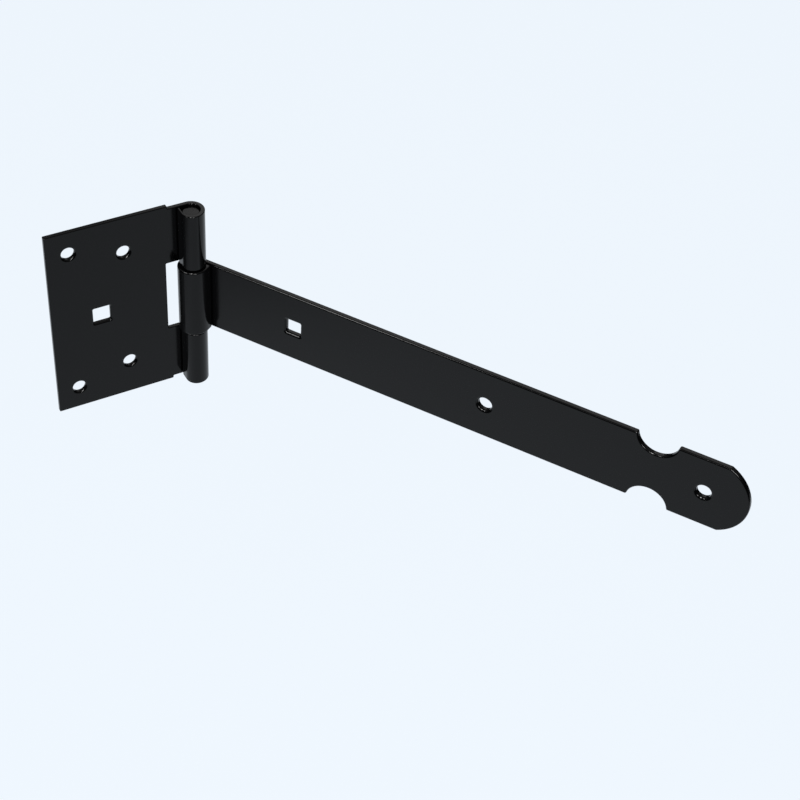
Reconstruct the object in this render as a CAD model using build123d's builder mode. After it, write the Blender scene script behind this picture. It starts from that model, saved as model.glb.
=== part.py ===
from build123d import *
import os

# A tee hinge in three pieces: a plate leaf, a strap leaf and the pin that joins them.
# Both leaves are sheet metal, and their ends are rolled round the pin into knuckles.
# All sizes are millimetres and all angles are degrees.
# The origin is the centre of the plate's square hole, on the plate's back face.
# +X runs along the plate towards the pin, +Y into the post that the plate is fixed to,
# and +Z up along the pin.

# Hinge pin
pin_diameter = 8.1
pin_recess = 1.3            # each end of the pin lies this far inside its knuckle
pin_end_rounding = 0.6

# Fits of the knuckles on the pin, measured on the radius
grip_clearance = 0.03       # plate knuckles, which hold the pin
running_clearance = 0.09    # strap knuckle, which turns on it

# Plate leaf, with distances along the plate taken from the pin's axis
plate_thickness = 2.1
plate_height = 100.0
plate_edge_to_pin = 65.85
plate_bolt_to_pin = 42.25
plate_bolt_square = 8.2     # for the square neck of a carriage bolt
plate_screw_diameter = 6.1
outer_screws_to_pin = 55.5
outer_screws_spacing = 76.8
inner_screws_to_pin = 30.45
inner_screws_spacing = 63.0
knuckle_setback = 1.4       # the knuckles end this far inside the plate's height
setback_to_roll = 3.2       # from a knuckle's outside to the step down from the full height

# Over the last quarter of the plate's roll the sheet is pressed thin against the pin
plate_end_thickness = 1.02
plate_end_gap = 0.9         # from the end of the roll to the plate's front face

# Strap leaf, with distances along the strap taken from the pin's axis
strap_thickness = 2.7
strap_width = 36.0
strap_bolt_to_pin = 50.1
strap_bolt_square = 7.4
strap_screw_diameter = 6.6
first_screw_to_pin = 145.85
last_screw_to_pin = 246.85
notches_to_pin = 223.9
notch_radius = 9.3
notch_centre_outside = 1.25  # a notch's centre lies this far outside the strap's edge
tip_radius = 20.1           # the tip is rounded about the last screw hole

# Over the last quarter of the strap's roll the sheet opens a little off the pin
strap_end_opening = 0.5
strap_end_gap = 0.4         # from the end of the roll to the strap's front face

# The window in the plate that the strap's knuckle stands in
knuckle_end_gap = 0.75      # above and below the strap's knuckle
knuckle_side_gap = 4.1      # between the strap's knuckle and the window's upright edge

# Edges and corners
plate_edge_rounding = 0.4
strap_edge_rounding = 0.75
plate_rim_rounding = 1.0    # front rims of the holes, which are punched from the front
strap_rim_rounding = 1.2
back_rim_rounding = 0.3     # back rims of the holes in both leaves
corner_rounding = 0.5       # corners of the flat outline
square_corner_rounding = 0.6
smooth_angle = 2.0          # faces that meet at less than this run smoothly into each other

# The strap stands this far forward of lying in line with the plate
rest_angle = 56.65

# Sizes that follow from the ones above
plate_bore_radius = pin_diameter / 2 + grip_clearance
strap_bore_radius = pin_diameter / 2 + running_clearance
plate_roll_radius = plate_bore_radius + plate_thickness
strap_roll_radius = strap_bore_radius + strap_thickness
plate_end_radius = plate_bore_radius + plate_end_thickness
strap_end_bore_radius = strap_bore_radius + strap_end_opening
strap_end_radius = strap_roll_radius + strap_end_opening
knuckle_top = plate_height / 2 - knuckle_setback
pin_length = 2 * (knuckle_top - pin_recess)
window_height = strap_width + 2 * knuckle_end_gap
window_edge_to_pin = strap_roll_radius + knuckle_side_gap
strap_end = last_screw_to_pin + tip_radius

# Each leaf is drawn in a plane that stands on the pin's axis, with +Y at the leaf's back.
# The plate runs towards -X of its plane, and the strap towards +X of its own.
plate_plane = Plane(origin=(plate_bolt_to_pin, -plate_roll_radius, 0))
strap_plane = plate_plane.rotated((0, 0, -rest_angle))


def front_plane(leaf_plane, bore_radius):
    """The plane of the leaf's front face, with x along the leaf, y up and its origin level
    with the pin's axis.

    The front face runs smoothly into the bore, so it is one bore radius behind the axis.
    """
    return Plane(
        origin=leaf_plane.from_local_coords((0, bore_radius, 0)),
        x_dir=leaf_plane.x_dir,
        z_dir=-leaf_plane.y_dir,
    )


def rolled_section(reach, bore_radius, roll_radius, end_bore_radius, end_radius, end_gap, side):
    """Draws the outline of a leaf as it would be cut across the pin.

    From the back face the sheet turns round the pin through half a circle. It turns through
    one more quarter with the radii of the roll's end, and then stays straight, square to the
    leaf, until it stops short of the front face by end_gap. side is -1 for a leaf that runs
    towards -X and 1 for one that runs towards +X.
    """
    end_centre = end_radius - roll_radius
    end_bore_centre = end_bore_radius - bore_radius
    end_height = bore_radius - end_gap
    Line((side * reach, roll_radius), (0, roll_radius))
    CenterArc((0, 0), roll_radius, 90, 180 * side)
    CenterArc((0, end_centre), end_radius, 270, 90 * side)
    Polyline(
        (side * end_radius, end_centre),
        (side * end_radius, end_height),
        (side * end_bore_radius, end_height),
        (side * end_bore_radius, end_bore_centre),
    )
    CenterArc((0, end_bore_centre), end_bore_radius, 270, 90 * side)
    CenterArc((0, 0), bore_radius, 90, 180 * side)
    Polyline((0, bore_radius), (side * reach, bore_radius), (side * reach, roll_radius))


def sharp_edges(leaf):
    """The edges where two faces meet at a corner, without the lines where a bend begins."""
    sharp = ShapeList()
    for edge in leaf.edges():
        normals = [face.normal_at(edge @ 0.5) for face in leaf.faces() if edge in face.edges()]
        if len(normals) == 2 and normals[0].get_angle(normals[1]) > smooth_angle:
            sharp.append(edge)
    return sharp


def hole_rims(leaf, leaf_front, place):
    """The edges round the holes in one of the leaf's two largest faces.

    place is 0 for the back of the leaf and 1 for its front.
    """
    from_the_back = Axis(leaf_front.origin, leaf_front.z_dir)
    sides = leaf.faces().filter_by(GeomType.PLANE).sort_by(SortBy.AREA)[-2:]
    rims = ShapeList()
    for wire in sides.sort_by(from_the_back)[place].inner_wires():
        rims.extend(wire.edges())
    return rims


# Hinge pin
with BuildPart(plate_plane) as hinge_pin:
    Cylinder(pin_diameter / 2, pin_length)
    fillet(hinge_pin.edges().filter_by(GeomType.CIRCLE), pin_end_rounding)

# Plate leaf
plate_front = front_plane(plate_plane, plate_bore_radius)
past_plate_roll = 2 * plate_roll_radius
screw_lines = (
    (outer_screws_to_pin, outer_screws_spacing),
    (inner_screws_to_pin, inner_screws_spacing),
)

with BuildPart(plate_front) as plate_leaf:
    with BuildSketch(plate_plane):
        with BuildLine():
            rolled_section(
                plate_edge_to_pin,
                plate_bore_radius,
                plate_roll_radius,
                plate_bore_radius,
                plate_end_radius,
                plate_end_gap,
                -1,
            )
        make_face()
    extrude(amount=plate_height / 2, both=True)

    # The flat outline takes off the steps beside the knuckles and opens the window
    with BuildSketch(plate_front) as plate_outline:
        with Locations((-plate_edge_to_pin, 0)):
            Rectangle(
                plate_edge_to_pin + past_plate_roll,
                plate_height,
                align=(Align.MIN, Align.CENTER),
            )
        with Locations((-plate_roll_radius - setback_to_roll, 0)):
            with GridLocations(0, 2 * (knuckle_top + knuckle_setback), 1, 2):
                Rectangle(
                    plate_roll_radius + setback_to_roll + past_plate_roll,
                    2 * knuckle_setback,
                    align=(Align.MIN, Align.CENTER),
                    mode=Mode.SUBTRACT,
                )
        with Locations((-window_edge_to_pin, 0)):
            Rectangle(
                window_edge_to_pin + past_plate_roll,
                window_height,
                align=(Align.MIN, Align.CENTER),
                mode=Mode.SUBTRACT,
            )
        corners = plate_outline.vertices().filter_by(lambda corner: corner.X < plate_bolt_to_pin)
        fillet(corners, min(corner_rounding, knuckle_setback / 3))
    extrude(amount=past_plate_roll, both=True, mode=Mode.INTERSECT)
    fillet(sharp_edges(plate_leaf), min(plate_edge_rounding, 2 * plate_end_thickness / 5))

    with BuildSketch(plate_front):
        with Locations((-plate_bolt_to_pin, 0)):
            RectangleRounded(plate_bolt_square, plate_bolt_square, square_corner_rounding)
    extrude(amount=-plate_thickness, mode=Mode.SUBTRACT)
    for to_pin, spacing in screw_lines:
        with Locations((-to_pin, 0)):
            with GridLocations(0, spacing, 1, 2):
                Hole(plate_screw_diameter / 2)
    fillet(hole_rims(plate_leaf, plate_front, 1), min(plate_rim_rounding, plate_thickness / 2))
    fillet(hole_rims(plate_leaf, plate_front, 0), min(back_rim_rounding, plate_thickness / 3))

# Strap leaf
strap_front = front_plane(strap_plane, strap_bore_radius)
past_strap_roll = 2 * strap_roll_radius

with BuildPart(strap_front) as strap_leaf:
    with BuildSketch(strap_plane):
        with BuildLine():
            rolled_section(
                strap_end,
                strap_bore_radius,
                strap_roll_radius,
                strap_end_bore_radius,
                strap_end_radius,
                strap_end_gap,
                1,
            )
        make_face()
    extrude(amount=strap_width / 2, both=True)

    # The flat outline rounds the tip and cuts the pair of notches
    with BuildSketch(strap_front):
        with Locations((last_screw_to_pin, 0)):
            Circle(tip_radius)
            Rectangle(
                last_screw_to_pin + past_strap_roll,
                2 * tip_radius,
                align=(Align.MAX, Align.CENTER),
            )
        with Locations((notches_to_pin, 0)):
            with GridLocations(0, strap_width + 2 * notch_centre_outside, 1, 2):
                Circle(notch_radius, mode=Mode.SUBTRACT)
    extrude(amount=past_strap_roll, both=True, mode=Mode.INTERSECT)
    fillet(sharp_edges(strap_leaf), min(strap_edge_rounding, strap_thickness / 3))

    with BuildSketch(strap_front):
        with Locations((strap_bolt_to_pin, 0)):
            RectangleRounded(strap_bolt_square, strap_bolt_square, square_corner_rounding)
    extrude(amount=-strap_thickness, mode=Mode.SUBTRACT)
    with Locations((first_screw_to_pin, 0), (last_screw_to_pin, 0)):
        Hole(strap_screw_diameter / 2)
    fillet(hole_rims(strap_leaf, strap_front, 1), min(strap_rim_rounding, strap_thickness / 2))
    fillet(hole_rims(strap_leaf, strap_front, 0), min(back_rim_rounding, strap_thickness / 3))

# One file for each piece
plate_leaf.part.label = "plate_leaf"
strap_leaf.part.label = "strap_leaf"
hinge_pin.part.label = "hinge_pin"
os.makedirs("parts", exist_ok=True)
for piece in (plate_leaf, strap_leaf, hinge_pin):
    export_step(piece.part, f"parts/{piece.part.label}.step")
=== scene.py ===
# %% [markdown]
# # A black tee hinge
#
# A tee hinge hangs a gate or a shed door. Its short, tall leaf is fixed to the post and its long
# strap to the door. Both leaves are stamped from flat steel, and their ends are rolled round one
# plain pin. The finished hinge is coated black, and the coat is what the eye sees: smooth, satin,
# thicker than paint, and soft over every stamped edge.
#
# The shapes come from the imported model, which this lesson loads first, so the work here is all
# finish and light. A black, shiny thing has almost no colour of its own. What it shows is the
# room, faintly mirrored, so the room is built with as much care as the coat. All lengths are
# metres. +X runs along the plate towards the pin, +Y goes back into the post and +Z is up.

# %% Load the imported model
import math

import bpy
from mathutils import Matrix, Vector


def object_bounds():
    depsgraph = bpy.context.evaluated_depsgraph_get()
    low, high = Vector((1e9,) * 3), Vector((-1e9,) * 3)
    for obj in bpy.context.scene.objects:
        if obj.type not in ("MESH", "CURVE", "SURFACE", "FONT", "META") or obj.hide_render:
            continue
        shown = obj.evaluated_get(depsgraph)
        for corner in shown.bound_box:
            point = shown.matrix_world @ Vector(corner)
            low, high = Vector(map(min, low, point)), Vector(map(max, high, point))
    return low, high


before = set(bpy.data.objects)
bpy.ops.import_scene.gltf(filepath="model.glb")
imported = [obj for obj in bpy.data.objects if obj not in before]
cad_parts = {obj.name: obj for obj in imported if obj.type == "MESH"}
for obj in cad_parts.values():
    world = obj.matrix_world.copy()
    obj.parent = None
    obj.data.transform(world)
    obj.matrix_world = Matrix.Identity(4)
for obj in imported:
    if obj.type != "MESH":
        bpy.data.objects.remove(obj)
cad_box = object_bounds()
print("Box:", [[round(v, 4) for v in corner] for corner in cad_box])

# %% [markdown]
# ## The camera
#
# The camera looks down on the hinge from the front left. It could be placed by two points, where
# it stands and what it looks at, but a level camera can't show the slight roll of the picture.
# So it is described as a photographer would: where it stands, which way it faces, how far it
# tips down and how far it is rolled. A long lens stands well back, so the strap shortens only a
# little towards its tip.

# %% Camera
CAMERA_PLACE = Vector((-0.1983, -0.5899, 0.5167))
CAMERA_HEADING = 31.26      # degrees from +Y towards +X
CAMERA_TIP_DOWN = 42.49     # degrees below level
CAMERA_ROLL = 4.32          # degrees
LENS_MM = 80.07             # on a sensor 36 mm wide

camera_data = bpy.data.cameras.new("camera")
camera_data.lens = LENS_MM
camera_data.sensor_width = 36.0
camera = bpy.data.objects.new("camera", camera_data)
bpy.context.scene.collection.objects.link(camera)
camera.matrix_world = (
    Matrix.Translation(CAMERA_PLACE)
    @ Matrix.Rotation(math.radians(-CAMERA_HEADING), 4, "Z")
    @ Matrix.Rotation(math.radians(90 - CAMERA_TIP_DOWN), 4, "X")
    @ Matrix.Rotation(math.radians(CAMERA_ROLL), 4, "Z")
)
bpy.context.scene.camera = camera
view_angle = math.degrees(2 * math.atan(camera_data.sensor_width / 2 / LENS_MM))
print("Camera sees", round(view_angle, 1), "degrees across")

# %% [markdown]
# ## Building node trees
#
# The floor, the room and the coat are all node trees. Setting each socket by hand would fill the
# page, so two small helpers do it: one adds a node and fills in its sockets, the other starts a
# material with nothing in it but its output.

# %% Helpers for node trees
def add_node(tree, kind, links=None, settings=None, **values):
    """Adds a node. links maps an input to the output that feeds it, settings are the node's own
    choices, and the other arguments are fixed values of its inputs."""
    node = tree.nodes.new(kind)
    for name, value in (settings or {}).items():
        setattr(node, name, value)
    for name, value in values.items():
        node.inputs[name.replace("_", " ")].default_value = value
    for name, output in (links or {}).items():
        tree.links.new(output, node.inputs[name])
    return node


def new_material(name):
    """A material with an empty node tree, and the tree's output node."""
    material = bpy.data.materials.new(name)
    material.use_nodes = True
    tree = material.node_tree
    tree.nodes.clear()
    output = tree.nodes.new("ShaderNodeOutputMaterial")
    return material, tree, output


# %% [markdown]
# ## What the camera and the gloss see
#
# The picture's ground is one even, pale, slightly blue white. Lamps alone can't light a floor so
# evenly, and lamps strong enough to whiten it would wash out the coat. So the floor shines by
# itself, but only for rays that come from the camera or that were mirrored by the coat. Rays
# that carry light onto the hinge find a plain matt floor. A small matt share is left for the
# camera too, and it takes the hinge's shadow.

# %% Rays that see the ground shine
PALE = (0.864, 0.928, 0.994, 1.0)


def sees_ground(tree):
    """The light path node, and an output that is 1 for a ray from the camera, off a gloss or
    through glass, and 0 for every other ray."""
    path = tree.nodes.new("ShaderNodeLightPath")
    direct = add_node(
        tree,
        "ShaderNodeMath",
        {0: path.outputs["Is Camera Ray"], 1: path.outputs["Is Glossy Ray"]},
        {"operation": "MAXIMUM"},
    )
    either = add_node(
        tree,
        "ShaderNodeMath",
        {0: direct.outputs[0], 1: path.outputs["Is Transmission Ray"]},
        {"operation": "MAXIMUM"},
    )
    return path, either.outputs[0]


print("Ground colour:", PALE[:3])

# %% [markdown]
# ## The floor
#
# The floor lies well below the hinge, so the shadow on it is wide and faint. In the gloss its glow
# is a painted pool of light, full in front of the hinge, painted a little brighter on the left and
# fading farther off, like a real table under softboxes, though the lamps don't make it. The strap's
# knuckle mirrors the edge of the painted pool, so the strap darkens towards it. A second painted
# pool lies under the lamp behind, for the backs of the leaves to mirror. Past the pools the horizon
# is dark, and the dark horizon draws the thin black lines that run along the coat's rounded edges.

# %% Floor
FLOOR_DROP = 0.6            # below the hinge's lowest point
FLOOR_REACH = 30.0
FLOOR_SHINE = 0.96          # share of the floor's look that doesn't depend on the lamps
# Painted light: these pools are painted into the glow that the coat mirrors, not made by the lamps
FRONT_PAINTED_POOL = {"middle": (0.3, -0.3, 0.0), "full_to": 0.93, "gone_at": 1.35, "brightness": 1.0}
BACK_PAINTED_POOL = {"middle": (0.8, 1.3, 0.0), "full_to": 1.2, "gone_at": 2.3, "brightness": 0.9}
POOL_END = 0.03             # what is left of the shine outside the pools
LEFT_PAINTED_SHINE = (-0.6, 1.09)    # the front pool is painted this bright at this x, a painted brightening on the left
RIGHT_PAINTED_SHINE = (0.3, 0.97)

floor_material, tree, output = new_material("pale_floor")
place = tree.nodes.new("ShaderNodeTexCoord")


def painted_pool_of_light(middle, full_to, gone_at, brightness):
    """A round pool of painted light in the floor's glow, full as far as full_to from its middle
    and almost gone at gone_at.
    """
    distance = add_node(
        tree, "ShaderNodeVectorMath", {0: place.outputs["Object"]}, {"operation": "DISTANCE"}
    )
    distance.inputs[1].default_value = middle
    pool = add_node(
        tree,
        "ShaderNodeMapRange",
        {"Value": distance.outputs["Value"]},
        {"interpolation_type": "SMOOTHSTEP"},
        From_Min=full_to,
        From_Max=gone_at,
        To_Min=brightness,
        To_Max=POOL_END,
    )
    return pool.outputs[0]


# The painted pools of light in the floor's glow
front_painted_pool = painted_pool_of_light(**FRONT_PAINTED_POOL)
back_painted_pool = painted_pool_of_light(**BACK_PAINTED_POOL)
# Painted light: the front pool is painted brighter towards the left
across = add_node(tree, "ShaderNodeSeparateXYZ", {0: place.outputs["Object"]})
painted_left_slope = add_node(
    tree,
    "ShaderNodeMapRange",
    {"Value": across.outputs["X"]},
    From_Min=LEFT_PAINTED_SHINE[0],
    From_Max=RIGHT_PAINTED_SHINE[0],
    To_Min=LEFT_PAINTED_SHINE[1],
    To_Max=RIGHT_PAINTED_SHINE[1],
)
front_shine = add_node(
    tree, "ShaderNodeMath", {0: front_painted_pool, 1: painted_left_slope.outputs[0]}, {"operation": "MULTIPLY"}
)
painted_glow = add_node(
    tree,
    "ShaderNodeMath",
    {0: front_shine.outputs[0], 1: back_painted_pool},
    {"operation": "MAXIMUM"},
)
path, seen = sees_ground(tree)
strength = add_node(
    tree,
    "ShaderNodeMix",
    {"Factor": path.outputs["Is Camera Ray"], "A": painted_glow.outputs[0]},
    B=1.0,
)
matt = add_node(tree, "ShaderNodeBsdfDiffuse", Color=PALE)
shine = add_node(tree, "ShaderNodeEmission", {"Strength": strength.outputs[0]}, Color=PALE)
share = add_node(tree, "ShaderNodeMath", {0: seen}, {"operation": "MULTIPLY"})
share.inputs[1].default_value = FLOOR_SHINE
mix = add_node(
    tree,
    "ShaderNodeMixShader",
    {"Fac": share.outputs[0], 1: matt.outputs[0], 2: shine.outputs[0]},
)
tree.links.new(mix.outputs[0], output.inputs["Surface"])

floor_mesh = bpy.data.meshes.new("floor")
floor_mesh.from_pydata(
    [(x * FLOOR_REACH, y * FLOOR_REACH, 0.0) for x, y in ((-1, -1), (1, -1), (1, 1), (-1, 1))],
    [],
    [(0, 1, 2, 3)],
)
floor_mesh.materials.append(floor_material)
floor = bpy.data.objects.new("floor", floor_mesh)
floor.location.z = cad_box[0][2] - FLOOR_DROP
bpy.context.scene.collection.objects.link(floor)
print("Floor at", round(floor.location.z, 3))

# %% [markdown]
# ## The room
#
# Round the table the room is dim near the floor and lighter overhead, where a white ceiling
# spreads the lamps' light. An image of a studio could light it, but a gradient from the horizon
# to the zenith does the same and stays plain. The camera itself sees the pale ground.

# %% World
HORIZON_LIGHT = 0.03
CEILING_LIGHT = 0.42
HORIZON_ENDS = 0.05         # heights of a direction, where 0 is level and 1 straight up
CEILING_STARTS = 0.7

world = bpy.data.worlds.new("room")
world.use_nodes = True
tree = world.node_tree
tree.nodes.clear()
direction = tree.nodes.new("ShaderNodeTexCoord")
height = add_node(tree, "ShaderNodeSeparateXYZ", {0: direction.outputs["Generated"]})
rise = add_node(
    tree,
    "ShaderNodeMapRange",
    {"Value": height.outputs["Z"]},
    {"interpolation_type": "SMOOTHSTEP"},
    From_Min=HORIZON_ENDS,
    From_Max=CEILING_STARTS,
    To_Min=HORIZON_LIGHT,
    To_Max=CEILING_LIGHT,
)
room_light = add_node(
    tree, "ShaderNodeBackground", {"Strength": rise.outputs[0]}, Color=(1.0, 1.0, 1.0, 1.0)
)
backdrop = add_node(tree, "ShaderNodeBackground", Color=PALE, Strength=1.0)
path = tree.nodes.new("ShaderNodeLightPath")
mix = add_node(
    tree,
    "ShaderNodeMixShader",
    {"Fac": path.outputs["Is Camera Ray"], 1: room_light.outputs[0], 2: backdrop.outputs[0]},
)
add_node(tree, "ShaderNodeOutputWorld", {"Surface": mix.outputs[0]})
bpy.context.scene.world = world
print("Room from", HORIZON_LIGHT, "at the horizon to", CEILING_LIGHT, "overhead")

# %% [markdown]
# ## The skin of the coat
#
# Powder coat melts and flows in the oven, and it never flows quite flat. It keeps a fine, even
# ripple about a millimetre across, which is called orange peel, and a finer grain on top of it.
# Its gloss isn't quite even either: it drifts over a few centimetres, and small dull spots are
# left where dust settled on the hot coat. Painting this by hand would need maps. Noise on the
# object's own coordinates needs none, keeps its real size on every piece and never shows a seam.
# Both leaves and the pin wear the coat, so the skin is one node group, made once and placed in
# each material with its own values.

# %% Node group for the skin of the coat
def add_socket(tree, name, way, kind, value=None):
    """Adds one named socket to a node group, way being INPUT or OUTPUT."""
    socket = tree.interface.new_socket(name=name, in_out=way, socket_type=kind)
    if value is not None:
        socket.default_value = value


def noise(tree, place, scale, detail=2.0, roughness=0.5):
    """Noise of the given number of waves to the metre."""
    node = add_node(
        tree,
        "ShaderNodeTexNoise",
        {"Vector": place},
        Scale=scale,
        Detail=detail,
        Roughness=roughness,
    )
    return node.outputs["Fac"]


def calculate(tree, operation, first, second):
    """One step of arithmetic on two outputs or numbers."""
    node = tree.nodes.new("ShaderNodeMath")
    node.operation = operation
    for socket, value in zip(node.inputs, (first, second)):
        if isinstance(value, (int, float)):
            socket.default_value = value
        else:
            tree.links.new(value, socket)
    return node.outputs[0]


def stretch(tree, value, spread, to_spread):
    """Moves a range of values to another range, without going past its ends."""
    node = add_node(
        tree,
        "ShaderNodeMapRange",
        {"Value": value},
        From_Min=spread[0],
        From_Max=spread[1],
        To_Min=to_spread[0],
        To_Max=to_spread[1],
    )
    return node.outputs[0]


PEEL_WAVES = 850.0          # orange peel, to the metre
GRAIN_WAVES = 4200.0
DRIFT_WAVES = 28.0
DUST_CELLS = 320.0          # cells to the metre, of which only a few hold a speck
SPECK_EDGE = (0.06, 0.16)   # a speck is full as far as the first, in cells, and ends at the second
DUSTY_CELLS = (0.90, 0.93)  # a cell holds a speck where its random value is past these
DRIFT_SPREAD = (0.3, 0.7)   # the part of the drift noise that counts, as it seldom leaves it
GREY_SPREAD = (0.35, 0.75)
GREY_SCALE = (0.85, 1.25)   # what the drift multiplies the pigment by

skin = bpy.data.node_groups.new("coat_skin", "ShaderNodeTree")
add_socket(skin, "Colour", "INPUT", "NodeSocketColor", (0.0005, 0.0005, 0.0006, 1.0))
add_socket(skin, "Gloss Roughness", "INPUT", "NodeSocketFloat", 0.14)
add_socket(skin, "Roughness Drift", "INPUT", "NodeSocketFloat", 0.03)
add_socket(skin, "Grain", "INPUT", "NodeSocketFloat", 0.12)
add_socket(skin, "Dust", "INPUT", "NodeSocketFloat", 0.2)
add_socket(skin, "Colour", "OUTPUT", "NodeSocketColor")
add_socket(skin, "Roughness", "OUTPUT", "NodeSocketFloat")
add_socket(skin, "Height", "OUTPUT", "NodeSocketFloat")

given = skin.nodes.new("NodeGroupInput")
place = skin.nodes.new("ShaderNodeTexCoord").outputs["Object"]
peel = noise(skin, place, PEEL_WAVES, detail=1.0)
grain = noise(skin, place, GRAIN_WAVES, detail=2.0)
drift = noise(skin, place, DRIFT_WAVES, detail=3.0)

# Dust: round specks at the middle of Voronoi cells, kept only in the cells with a high random value
cells = add_node(skin, "ShaderNodeTexVoronoi", {"Vector": place}, Scale=DUST_CELLS)
chosen = add_node(skin, "ShaderNodeSeparateColor", {"Color": cells.outputs["Color"]})
speck = stretch(skin, cells.outputs["Distance"], SPECK_EDGE, (1.0, 0.0))
kept = stretch(skin, chosen.outputs["Red"], DUSTY_CELLS, (0.0, 1.0))
dust = calculate(skin, "MULTIPLY", calculate(skin, "MULTIPLY", speck, kept), given.outputs["Dust"])

# Roughness: the gloss value, plus or minus the drift, and duller on a speck
swing = stretch(skin, drift, DRIFT_SPREAD, (-1.0, 1.0))
wander = calculate(skin, "MULTIPLY", swing, given.outputs["Roughness Drift"])
roughness = calculate(
    skin, "ADD", calculate(skin, "ADD", given.outputs["Gloss Roughness"], wander), dust
)

# Height: the peel, with the grain as a share of it, and a speck standing a little proud
ripple = calculate(skin, "ADD", peel, calculate(skin, "MULTIPLY", grain, given.outputs["Grain"]))
height = calculate(skin, "ADD", ripple, dust)

# Colour: the pigment, a little greyer where the drift is high
grey = stretch(skin, drift, GREY_SPREAD, GREY_SCALE)
tinted = add_node(
    skin,
    "ShaderNodeVectorMath",
    {0: given.outputs["Colour"], "Scale": grey},
    {"operation": "SCALE"},
)

result = skin.nodes.new("NodeGroupOutput")
skin.links.new(tinted.outputs[0], result.inputs["Colour"])
skin.links.new(roughness, result.inputs["Roughness"])
skin.links.new(height, result.inputs["Height"])
print("coat_skin:", len(skin.nodes), "nodes")

# %% [markdown]
# ## Black coat on the leaves and the pin
#
# The coat is satin black resin. A metal shader with a dark colour would mirror too much of the
# room, and in black. Resin mirrors only a few hundredths of it, in white, and more at a slant. So
# it is the plain dielectric of the Principled shader, with a low index that holds the mirrored
# floor down to the dark grey that the real hinge shows. The skin gives the colour, the
# roughness and the ripple. The pin is turned bar, driven in and coated with the rest, so its
# ends are a little rougher under the coat.

# %% Coat materials
COAT_INDEX = 1.26
PEEL_DEPTH = 0.000004       # metres from the peel's valleys to its tops


def coat_material(name, **values):
    """A coat with its own skin values, on the Principled shader."""
    material, tree, output = new_material(name)
    layer = tree.nodes.new("ShaderNodeGroup")
    layer.node_tree = skin
    for socket, value in values.items():
        layer.inputs[socket.replace("_", " ")].default_value = value
    bump = add_node(
        tree,
        "ShaderNodeBump",
        {"Height": layer.outputs["Height"]},
        Strength=1.0,
        Distance=PEEL_DEPTH,
    )
    resin = add_node(
        tree,
        "ShaderNodeBsdfPrincipled",
        {
            "Base Color": layer.outputs["Colour"],
            "Roughness": layer.outputs["Roughness"],
            "Normal": bump.outputs["Normal"],
        },
        IOR=COAT_INDEX,
    )
    tree.links.new(resin.outputs[0], output.inputs["Surface"])
    return material


leaf_coat = coat_material("black_coat")
pin_coat = coat_material("black_coat_pin", Gloss_Roughness=0.2, Grain=0.3)
coats = {"plate_leaf": leaf_coat, "strap_leaf": leaf_coat, "hinge_pin": pin_coat}
for name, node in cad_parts.items():
    node.data.materials.clear()
    node.data.materials.append(coats[name])
    print(name, "wears", coats[name].name, "on", len(node.data.polygons), "faces")

# %% [markdown]
# ## The lamps
#
# Softboxes do two things here. Their light falls on the hinge, which a black coat hardly shows,
# and their faces are mirrored in the coat, which is nearly all that it shows. So each is placed
# by what it is mirrored in. A wide, soft one behind and above is for the faces that look up.
# Tall, narrow, stronger ones to the left and in front draw short lights on the rounded edges
# and the rims of the holes, and a low one in front does so for the holes in the strap. The
# mirrored brightness is the lamp's power over its area, so a lamp is given its brightness and
# the power follows.

# %% Softboxes
hinge_middle = (Vector(cad_box[0]) + Vector(cad_box[1])) / 2


def softbox(name, towards, away, width, height, brightness):
    """A rectangular lamp that faces the hinge from the direction towards, and from away metres.

    Seen head on, it shines with the given brightness, where 1 is white. A flat lamp spreads its
    power over pi times its area, so its power is brightness times pi times the area.
    """
    data = bpy.data.lights.new(name, "AREA")
    data.shape = "RECTANGLE"
    data.size = width
    data.size_y = height
    data.energy = brightness * math.pi * width * height
    lamp = bpy.data.objects.new(name, data)
    lamp.location = hinge_middle + Vector(towards).normalized() * away
    lamp.rotation_euler = (hinge_middle - lamp.location).to_track_quat("-Z", "Y").to_euler()
    lamp.visible_camera = False
    bpy.context.scene.collection.objects.link(lamp)
    print(name, [round(v, 2) for v in lamp.location], round(data.energy, 1), "W")


softbox("back_softbox", (0.46, 0.60, 0.66), away=1.3, width=0.8, height=0.8, brightness=1.1)
softbox("left_softbox", (-0.75, -0.02, 0.66), away=1.2, width=0.17, height=0.5, brightness=24.0)
softbox("front_softbox", (-0.45, -0.47, 0.72), away=1.2, width=0.2, height=0.5, brightness=50.0)
softbox("low_softbox", (-0.17, -0.90, 0.40), away=1.2, width=0.3, height=0.3, brightness=25.0)

# %% [markdown]
# ## Finish
#
# The Standard view shows each colour as it is written.

# %% View
bpy.context.scene.view_settings.view_transform = "Standard"
